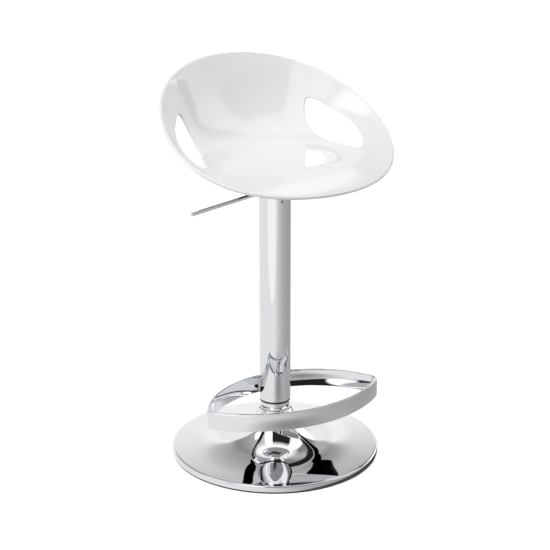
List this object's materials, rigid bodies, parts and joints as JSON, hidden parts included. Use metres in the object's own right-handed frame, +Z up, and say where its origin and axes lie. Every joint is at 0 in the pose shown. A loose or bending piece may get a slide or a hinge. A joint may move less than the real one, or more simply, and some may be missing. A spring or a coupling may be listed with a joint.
{
  "type": "swivel bar stool",
  "caption": "Height-adjustable swivel bar stool: white bucket seat with side cut-outs, chromed column on a trumpet base, eye-shaped footrest loop and release lever.",
  "frame": {"origin": "on the column's axis, in the plane of the floor glide's underside", "axes": "+Z up along the column; -Y towards the front of the seat; the release lever reaches out along -X"},
  "size_m": [0.4648, 0.47, 0.804],
  "materials": {
    "polished_chrome": "mirror-polished chrome plate on steel",
    "white_shell": "high-gloss moulded plastic, white",
    "black_glide": "matt moulded rubber",
    "black_nylon": "matt moulded nylon",
    "rubber_buffer": "matt rubber",
    "ballast_iron": "sealed grey cast iron",
    "zinc_steel": "zinc-plated steel",
    "ground_rod": "ground and polished steel",
    "black_steel": "satin black stove enamel",
    "brass_cage": "plain turned brass"
  },
  "bodies": {
    "base": {"base_dish": "polished_chrome", "ballast_disc": "ballast_iron", "glide_ring": "black_glide", "pedestal_flange": "zinc_steel", "flange_bolts": "zinc_steel", "pedestal_tube": "polished_chrome", "neck_collar": "polished_chrome", "bearing_plate": "zinc_steel", "guide_bush": "black_nylon", "lower_race": "zinc_steel"},
    "spring_rod": {"piston_rod": "ground_rod", "piston": "black_nylon", "bearing_balls": "ground_rod", "ball_cage": "brass_cage", "upper_race": "zinc_steel", "rod_buffer": "rubber_buffer", "retaining_washer": "zinc_steel", "retaining_clip": "zinc_steel"},
    "column": {"gas_cylinder": "black_steel", "cylinder_end_seal": "black_nylon", "head_block": "zinc_steel", "set_screws": "zinc_steel", "outer_tube": "polished_chrome", "slide_bush": "black_nylon", "footrest_ring": "polished_chrome", "footrest_welds": "polished_chrome", "seat_plate": "black_steel", "lever_bracket": "zinc_steel", "pivot_pin": "zinc_steel", "seat_screws": "zinc_steel", "screw_washers": "zinc_steel", "seat_inserts": "brass_cage", "seat_shell": "white_shell"},
    "lever": {"release_lever": "polished_chrome", "lever_tip": "polished_chrome"},
    "button": {"release_button": "black_steel"}
  },
  "joints": [
    {"name": "seat_swivel", "type": "hinge", "parent": "base", "child": "spring_rod", "pos_m": [0, 0, 0.105], "axis": [0, 0, 1], "continuous": true},
    {"name": "height_lift", "type": "slide", "parent": "spring_rod", "child": "column", "axis": [0, 0, 1], "range_m": [0, 0.22]},
    {"name": "lever_lift", "type": "hinge", "parent": "column", "child": "lever", "pos_m": [-0.02, 0, 0.5711], "axis": [0, 1, 0], "range_deg": [0, 6], "stiffness_Nm_per_rad": 1, "springref_deg": -5.73},
    {"name": "button_press", "type": "slide", "parent": "column", "child": "button", "axis": [0, 0, -1], "range_m": [0, 0.0026]}
  ],
  "couplings": [
    {"joint": "button_press", "follows": "lever_lift", "m_per_rad": 0.02}
  ]
}
